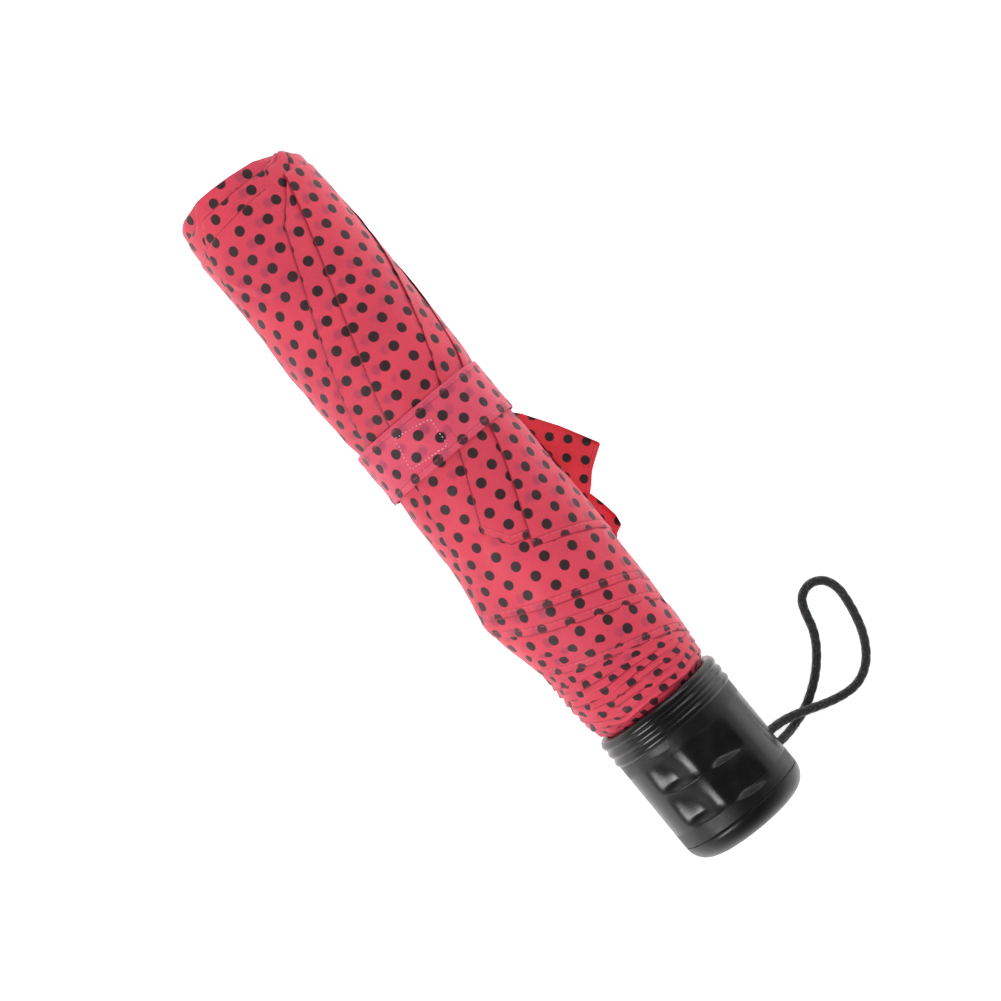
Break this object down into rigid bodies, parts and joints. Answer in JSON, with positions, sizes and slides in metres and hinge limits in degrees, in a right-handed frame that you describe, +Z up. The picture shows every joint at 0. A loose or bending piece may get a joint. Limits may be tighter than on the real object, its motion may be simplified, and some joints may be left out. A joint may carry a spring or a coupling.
{
  "type": "folding umbrella",
  "caption": "Furled child-size folding umbrella in a dotted cloth with a tie strap, a dimpled cup handle and a wrist cord; the shaft telescopes and the ribs open.",
  "frame": {"origin": "on the table under the middle of the furled umbrella's box, its wrist cord left out", "axes": "+Y along the shaft from the handle to the top, +X towards the side with the wrist cord, +Z up from the table"},
  "size_m": [0.0926, 0.245, 0.0448],
  "materials": {
    "handle_plastic": "semi-gloss black moulded plastic",
    "end_cap_plastic": "semi-gloss black moulded plastic",
    "inner_plastic": "black moulded nylon",
    "tube_steel": "bright plated steel tube",
    "spring_steel": "plain spring steel",
    "rib_steel": "zinc-plated steel strip and wire",
    "canopy_cloth": "thin woven polyester, pink-red with dark grey polka dots",
    "strap_cloth": "the same cloth, doubled and stitched",
    "cord_braid": "black braided polyester cord"
  },
  "bodies": {
    "handle": {"handle_grip": "handle_plastic", "handle_end_cap": "end_cap_plastic", "handle_pin": "spring_steel", "lower_tube": "tube_steel", "wrist_cord": "cord_braid", "cord_knot": "cord_braid"},
    "middle_tube": {"middle_tube": "tube_steel"},
    "crown": {"upper_tube": "tube_steel", "top_notch": "inner_plastic", "notch_wire": "spring_steel", "ferrule_cap": "inner_plastic", "canopy": "canopy_cloth", "loose_corners": "canopy_cloth", "tie_strap": "strap_cloth"},
    "runner": {"runner": "inner_plastic"},
    "strap_tab": {"strap_tab": "strap_cloth"},
    "middle_tube_button": {"middle_tube_button": "spring_steel"},
    "upper_tube_button": {"upper_tube_button": "spring_steel"},
    "runner_catch": {"runner_catch": "spring_steel"},
    "top_rib_1": {"top_rib_1": "rib_steel"},
    "stretcher_1": {"stretcher_1": "rib_steel"},
    "middle_rib_1": {"middle_rib_1": "rib_steel"},
    "outer_rib_1": {"outer_rib_1": "rib_steel"},
    "top_rib_2": {"top_rib_2": "rib_steel"},
    "stretcher_2": {"stretcher_2": "rib_steel"},
    "middle_rib_2": {"middle_rib_2": "rib_steel"},
    "outer_rib_2": {"outer_rib_2": "rib_steel"},
    "top_rib_3": {"top_rib_3": "rib_steel"},
    "stretcher_3": {"stretcher_3": "rib_steel"},
    "middle_rib_3": {"middle_rib_3": "rib_steel"},
    "outer_rib_3": {"outer_rib_3": "rib_steel"},
    "top_rib_4": {"top_rib_4": "rib_steel"},
    "stretcher_4": {"stretcher_4": "rib_steel"},
    "middle_rib_4": {"middle_rib_4": "rib_steel"},
    "outer_rib_4": {"outer_rib_4": "rib_steel"},
    "top_rib_5": {"top_rib_5": "rib_steel"},
    "stretcher_5": {"stretcher_5": "rib_steel"},
    "middle_rib_5": {"middle_rib_5": "rib_steel"},
    "outer_rib_5": {"outer_rib_5": "rib_steel"},
    "top_rib_6": {"top_rib_6": "rib_steel"},
    "stretcher_6": {"stretcher_6": "rib_steel"},
    "middle_rib_6": {"middle_rib_6": "rib_steel"},
    "outer_rib_6": {"outer_rib_6": "rib_steel"},
    "top_rib_7": {"top_rib_7": "rib_steel"},
    "stretcher_7": {"stretcher_7": "rib_steel"},
    "middle_rib_7": {"middle_rib_7": "rib_steel"},
    "outer_rib_7": {"outer_rib_7": "rib_steel"},
    "top_rib_8": {"top_rib_8": "rib_steel"},
    "stretcher_8": {"stretcher_8": "rib_steel"},
    "middle_rib_8": {"middle_rib_8": "rib_steel"},
    "outer_rib_8": {"outer_rib_8": "rib_steel"},
    "top_pleat_left": {"top_pleat_left": "canopy_cloth"},
    "top_pleat_right": {"top_pleat_right": "canopy_cloth"},
    "middle_pleat_left": {"middle_pleat_left": "canopy_cloth"},
    "middle_pleat_right": {"middle_pleat_right": "canopy_cloth"},
    "outer_pleat_left": {"outer_pleat_left": "canopy_cloth"},
    "outer_pleat_right": {"outer_pleat_right": "canopy_cloth"}
  },
  "joints": [
    {"name": "middle_tube_slide", "type": "slide", "parent": "handle", "child": "middle_tube", "axis": [0, 1, 0], "range_m": [0, 0.15]},
    {"name": "upper_tube_slide", "type": "slide", "parent": "middle_tube", "child": "crown", "axis": [0, 1, 0], "range_m": [0, 0.15]},
    {"name": "canopy_open", "type": "slide", "parent": "crown", "child": "runner", "axis": [0, 1, 0], "range_m": [0, 0.1347], "deforming": ["canopy", "loose_corners", "tie_strap", "strap_tab", "top_pleat_left", "top_pleat_right", "middle_pleat_left", "middle_pleat_right", "outer_pleat_left", "outer_pleat_right"]},
    {"name": "strap_tab_open", "type": "hinge", "parent": "crown", "child": "strap_tab", "pos_m": [-0.00122, 0.0273, 0.04425], "axis": [0, 1, 0], "range_deg": [0, 130]},
    {"name": "middle_button_press", "type": "slide", "parent": "middle_tube", "child": "middle_tube_button", "axis": [1, 0, 0], "range_m": [0, 0.0007], "stiffness_N_per_m": 100},
    {"name": "upper_button_press", "type": "slide", "parent": "crown", "child": "upper_tube_button", "axis": [-1, 0, 0], "range_m": [0, 0.0007], "stiffness_N_per_m": 100},
    {"name": "runner_catch_press", "type": "slide", "parent": "crown", "child": "runner_catch", "axis": [1, 0, 0], "range_m": [0, 0.0022], "stiffness_N_per_m": 100},
    {"name": "top_rib_1_swing", "type": "hinge", "parent": "crown", "child": "top_rib_1", "pos_m": [0.00076, 0.1055, 0.02389], "axis": [-0.3827, 0, 0.9239], "range_deg": [0, 78.08]},
    {"name": "stretcher_1_swing", "type": "hinge", "parent": "top_rib_1", "child": "stretcher_1", "pos_m": [0.00076, 0.0205, 0.02389], "axis": [-0.3827, 0, 0.9239], "range_deg": [-156.16, 0]},
    {"name": "middle_rib_1_swing", "type": "hinge", "parent": "top_rib_1", "child": "middle_rib_1", "pos_m": [0.00205, -0.021, 0.02442], "axis": [-0.3827, 0, 0.9239], "range_deg": [-188.19, 0]},
    {"name": "outer_rib_1_swing", "type": "hinge", "parent": "middle_rib_1", "child": "outer_rib_1", "pos_m": [0.00464, 0.1175, 0.02549], "axis": [-0.3827, 0, 0.9239], "range_deg": [0, 171.17]},
    {"name": "top_rib_2_swing", "type": "hinge", "parent": "crown", "child": "top_rib_2", "pos_m": [-0.00276, 0.1055, 0.02741], "axis": [-0.9239, 0, 0.3827], "range_deg": [0, 78.08]},
    {"name": "stretcher_2_swing", "type": "hinge", "parent": "top_rib_2", "child": "stretcher_2", "pos_m": [-0.00276, 0.0205, 0.02741], "axis": [-0.9239, 0, 0.3827], "range_deg": [-156.16, 0]},
    {"name": "middle_rib_2_swing", "type": "hinge", "parent": "top_rib_2", "child": "middle_rib_2", "pos_m": [-0.00223, -0.021, 0.0287], "axis": [-0.9239, 0, 0.3827], "range_deg": [-188.19, 0]},
    {"name": "outer_rib_2_swing", "type": "hinge", "parent": "middle_rib_2", "child": "outer_rib_2", "pos_m": [-0.00116, 0.1175, 0.03129], "axis": [-0.9239, 0, 0.3827], "range_deg": [0, 171.17]},
    {"name": "top_rib_3_swing", "type": "hinge", "parent": "crown", "child": "top_rib_3", "pos_m": [-0.00774, 0.1055, 0.02741], "axis": [-0.9239, 0, -0.3827], "range_deg": [0, 78.08]},
    {"name": "stretcher_3_swing", "type": "hinge", "parent": "top_rib_3", "child": "stretcher_3", "pos_m": [-0.00774, 0.0205, 0.02741], "axis": [-0.9239, 0, -0.3827], "range_deg": [-156.16, 0]},
    {"name": "middle_rib_3_swing", "type": "hinge", "parent": "top_rib_3", "child": "middle_rib_3", "pos_m": [-0.00827, -0.021, 0.0287], "axis": [-0.9239, 0, -0.3827], "range_deg": [-188.19, 0]},
    {"name": "outer_rib_3_swing", "type": "hinge", "parent": "middle_rib_3", "child": "outer_rib_3", "pos_m": [-0.00934, 0.1175, 0.03129], "axis": [-0.9239, 0, -0.3827], "range_deg": [0, 171.17]},
    {"name": "top_rib_4_swing", "type": "hinge", "parent": "crown", "child": "top_rib_4", "pos_m": [-0.01126, 0.1055, 0.02389], "axis": [-0.3827, 0, -0.9239], "range_deg": [0, 78.08]},
    {"name": "stretcher_4_swing", "type": "hinge", "parent": "top_rib_4", "child": "stretcher_4", "pos_m": [-0.01126, 0.0205, 0.02389], "axis": [-0.3827, 0, -0.9239], "range_deg": [-156.16, 0]},
    {"name": "middle_rib_4_swing", "type": "hinge", "parent": "top_rib_4", "child": "middle_rib_4", "pos_m": [-0.01255, -0.021, 0.02442], "axis": [-0.3827, 0, -0.9239], "range_deg": [-188.19, 0]},
    {"name": "outer_rib_4_swing", "type": "hinge", "parent": "middle_rib_4", "child": "outer_rib_4", "pos_m": [-0.01514, 0.1175, 0.02549], "axis": [-0.3827, 0, -0.9239], "range_deg": [0, 171.17]},
    {"name": "top_rib_5_swing", "type": "hinge", "parent": "crown", "child": "top_rib_5", "pos_m": [-0.01126, 0.1055, 0.01891], "axis": [0.3827, 0, -0.9239], "range_deg": [0, 78.08]},
    {"name": "stretcher_5_swing", "type": "hinge", "parent": "top_rib_5", "child": "stretcher_5", "pos_m": [-0.01126, 0.0205, 0.01891], "axis": [0.3827, 0, -0.9239], "range_deg": [-156.16, 0]},
    {"name": "middle_rib_5_swing", "type": "hinge", "parent": "top_rib_5", "child": "middle_rib_5", "pos_m": [-0.01255, -0.021, 0.01838], "axis": [0.3827, 0, -0.9239], "range_deg": [-188.19, 0]},
    {"name": "outer_rib_5_swing", "type": "hinge", "parent": "middle_rib_5", "child": "outer_rib_5", "pos_m": [-0.01514, 0.1175, 0.01731], "axis": [0.3827, 0, -0.9239], "range_deg": [0, 171.17]},
    {"name": "top_rib_6_swing", "type": "hinge", "parent": "crown", "child": "top_rib_6", "pos_m": [-0.00774, 0.1055, 0.01539], "axis": [0.9239, 0, -0.3827], "range_deg": [0, 78.08]},
    {"name": "stretcher_6_swing", "type": "hinge", "parent": "top_rib_6", "child": "stretcher_6", "pos_m": [-0.00774, 0.0205, 0.01539], "axis": [0.9239, 0, -0.3827], "range_deg": [-156.16, 0]},
    {"name": "middle_rib_6_swing", "type": "hinge", "parent": "top_rib_6", "child": "middle_rib_6", "pos_m": [-0.00827, -0.021, 0.0141], "axis": [0.9239, 0, -0.3827], "range_deg": [-188.19, 0]},
    {"name": "outer_rib_6_swing", "type": "hinge", "parent": "middle_rib_6", "child": "outer_rib_6", "pos_m": [-0.00934, 0.1175, 0.01151], "axis": [0.9239, 0, -0.3827], "range_deg": [0, 171.17]},
    {"name": "top_rib_7_swing", "type": "hinge", "parent": "crown", "child": "top_rib_7", "pos_m": [-0.00276, 0.1055, 0.01539], "axis": [0.9239, 0, 0.3827], "range_deg": [0, 78.08]},
    {"name": "stretcher_7_swing", "type": "hinge", "parent": "top_rib_7", "child": "stretcher_7", "pos_m": [-0.00276, 0.0205, 0.01539], "axis": [0.9239, 0, 0.3827], "range_deg": [-156.16, 0]},
    {"name": "middle_rib_7_swing", "type": "hinge", "parent": "top_rib_7", "child": "middle_rib_7", "pos_m": [-0.00223, -0.021, 0.0141], "axis": [0.9239, 0, 0.3827], "range_deg": [-188.19, 0]},
    {"name": "outer_rib_7_swing", "type": "hinge", "parent": "middle_rib_7", "child": "outer_rib_7", "pos_m": [-0.00116, 0.1175, 0.01151], "axis": [0.9239, 0, 0.3827], "range_deg": [0, 171.17]},
    {"name": "top_rib_8_swing", "type": "hinge", "parent": "crown", "child": "top_rib_8", "pos_m": [0.00076, 0.1055, 0.01891], "axis": [0.3827, 0, 0.9239], "range_deg": [0, 78.08]},
    {"name": "stretcher_8_swing", "type": "hinge", "parent": "top_rib_8", "child": "stretcher_8", "pos_m": [0.00076, 0.0205, 0.01891], "axis": [0.3827, 0, 0.9239], "range_deg": [-156.16, 0]},
    {"name": "middle_rib_8_swing", "type": "hinge", "parent": "top_rib_8", "child": "middle_rib_8", "pos_m": [0.00205, -0.021, 0.01838], "axis": [0.3827, 0, 0.9239], "range_deg": [-188.19, 0]},
    {"name": "outer_rib_8_swing", "type": "hinge", "parent": "middle_rib_8", "child": "outer_rib_8", "pos_m": [0.00464, 0.1175, 0.01731], "axis": [0.3827, 0, 0.9239], "range_deg": [0, 171.17]},
    {"name": "top_pleat_left_turn", "type": "hinge", "parent": "top_rib_1", "child": "top_pleat_left", "pos_m": [-0.00049, 0.11186, 0.02337], "axis": [0.9037, 0.2079, 0.3743], "range_deg": [-179.68, 0]},
    {"name": "top_pleat_right_turn", "type": "hinge", "parent": "top_rib_1", "child": "top_pleat_right", "pos_m": [-0.00049, 0.11186, 0.02337], "axis": [0.9037, 0.2079, 0.3743], "range_deg": [0, 179.68]},
    {"name": "middle_pleat_left_turn", "type": "hinge", "parent": "middle_rib_1", "child": "middle_pleat_left", "pos_m": [0.02165, -0.15218, 0.03254], "axis": [-0.8682, -0.342, -0.3596], "range_deg": [-179.68, 0]},
    {"name": "middle_pleat_right_turn", "type": "hinge", "parent": "middle_rib_1", "child": "middle_pleat_right", "pos_m": [0.02165, -0.15218, 0.03254], "axis": [-0.8682, -0.342, -0.3596], "range_deg": [0, 179.68]},
    {"name": "outer_pleat_left_turn", "type": "hinge", "parent": "outer_rib_1", "child": "outer_pleat_left", "pos_m": [-0.05114, 0.38098, 0.00239], "axis": [0.808, 0.4848, 0.3347], "range_deg": [-179.68, 0]},
    {"name": "outer_pleat_right_turn", "type": "hinge", "parent": "outer_rib_1", "child": "outer_pleat_right", "pos_m": [-0.05114, 0.38098, 0.00239], "axis": [0.808, 0.4848, 0.3347], "range_deg": [0, 179.68]}
  ],
  "couplings": [
    {"joint": "top_rib_1_swing", "follows": "canopy_open", "rad_per_m": 10.107},
    {"joint": "stretcher_1_swing", "follows": "canopy_open", "rad_per_m": -20.213},
    {"joint": "middle_rib_1_swing", "follows": "canopy_open", "rad_per_m": -24.359},
    {"joint": "outer_rib_1_swing", "follows": "canopy_open", "rad_per_m": 22.157},
    {"joint": "top_rib_2_swing", "follows": "canopy_open", "rad_per_m": 10.107},
    {"joint": "stretcher_2_swing", "follows": "canopy_open", "rad_per_m": -20.213},
    {"joint": "middle_rib_2_swing", "follows": "canopy_open", "rad_per_m": -24.359},
    {"joint": "outer_rib_2_swing", "follows": "canopy_open", "rad_per_m": 22.157},
    {"joint": "top_rib_3_swing", "follows": "canopy_open", "rad_per_m": 10.107},
    {"joint": "stretcher_3_swing", "follows": "canopy_open", "rad_per_m": -20.213},
    {"joint": "middle_rib_3_swing", "follows": "canopy_open", "rad_per_m": -24.359},
    {"joint": "outer_rib_3_swing", "follows": "canopy_open", "rad_per_m": 22.157},
    {"joint": "top_rib_4_swing", "follows": "canopy_open", "rad_per_m": 10.107},
    {"joint": "stretcher_4_swing", "follows": "canopy_open", "rad_per_m": -20.213},
    {"joint": "middle_rib_4_swing", "follows": "canopy_open", "rad_per_m": -24.359},
    {"joint": "outer_rib_4_swing", "follows": "canopy_open", "rad_per_m": 22.157},
    {"joint": "top_rib_5_swing", "follows": "canopy_open", "rad_per_m": 10.107},
    {"joint": "stretcher_5_swing", "follows": "canopy_open", "rad_per_m": -20.213},
    {"joint": "middle_rib_5_swing", "follows": "canopy_open", "rad_per_m": -24.359},
    {"joint": "outer_rib_5_swing", "follows": "canopy_open", "rad_per_m": 22.157},
    {"joint": "top_rib_6_swing", "follows": "canopy_open", "rad_per_m": 10.107},
    {"joint": "stretcher_6_swing", "follows": "canopy_open", "rad_per_m": -20.213},
    {"joint": "middle_rib_6_swing", "follows": "canopy_open", "rad_per_m": -24.359},
    {"joint": "outer_rib_6_swing", "follows": "canopy_open", "rad_per_m": 22.157},
    {"joint": "top_rib_7_swing", "follows": "canopy_open", "rad_per_m": 10.107},
    {"joint": "stretcher_7_swing", "follows": "canopy_open", "rad_per_m": -20.213},
    {"joint": "middle_rib_7_swing", "follows": "canopy_open", "rad_per_m": -24.359},
    {"joint": "outer_rib_7_swing", "follows": "canopy_open", "rad_per_m": 22.157},
    {"joint": "top_rib_8_swing", "follows": "canopy_open", "rad_per_m": 10.107},
    {"joint": "stretcher_8_swing", "follows": "canopy_open", "rad_per_m": -20.213},
    {"joint": "middle_rib_8_swing", "follows": "canopy_open", "rad_per_m": -24.359},
    {"joint": "outer_rib_8_swing", "follows": "canopy_open", "rad_per_m": 22.157},
    {"joint": "top_pleat_left_turn", "follows": "canopy_open", "rad_per_m": -23.258},
    {"joint": "top_pleat_right_turn", "follows": "canopy_open", "rad_per_m": 23.258},
    {"joint": "middle_pleat_left_turn", "follows": "canopy_open", "rad_per_m": -23.258},
    {"joint": "middle_pleat_right_turn", "follows": "canopy_open", "rad_per_m": 23.258},
    {"joint": "outer_pleat_left_turn", "follows": "canopy_open", "rad_per_m": -23.258},
    {"joint": "outer_pleat_right_turn", "follows": "canopy_open", "rad_per_m": 23.258}
  ]
}
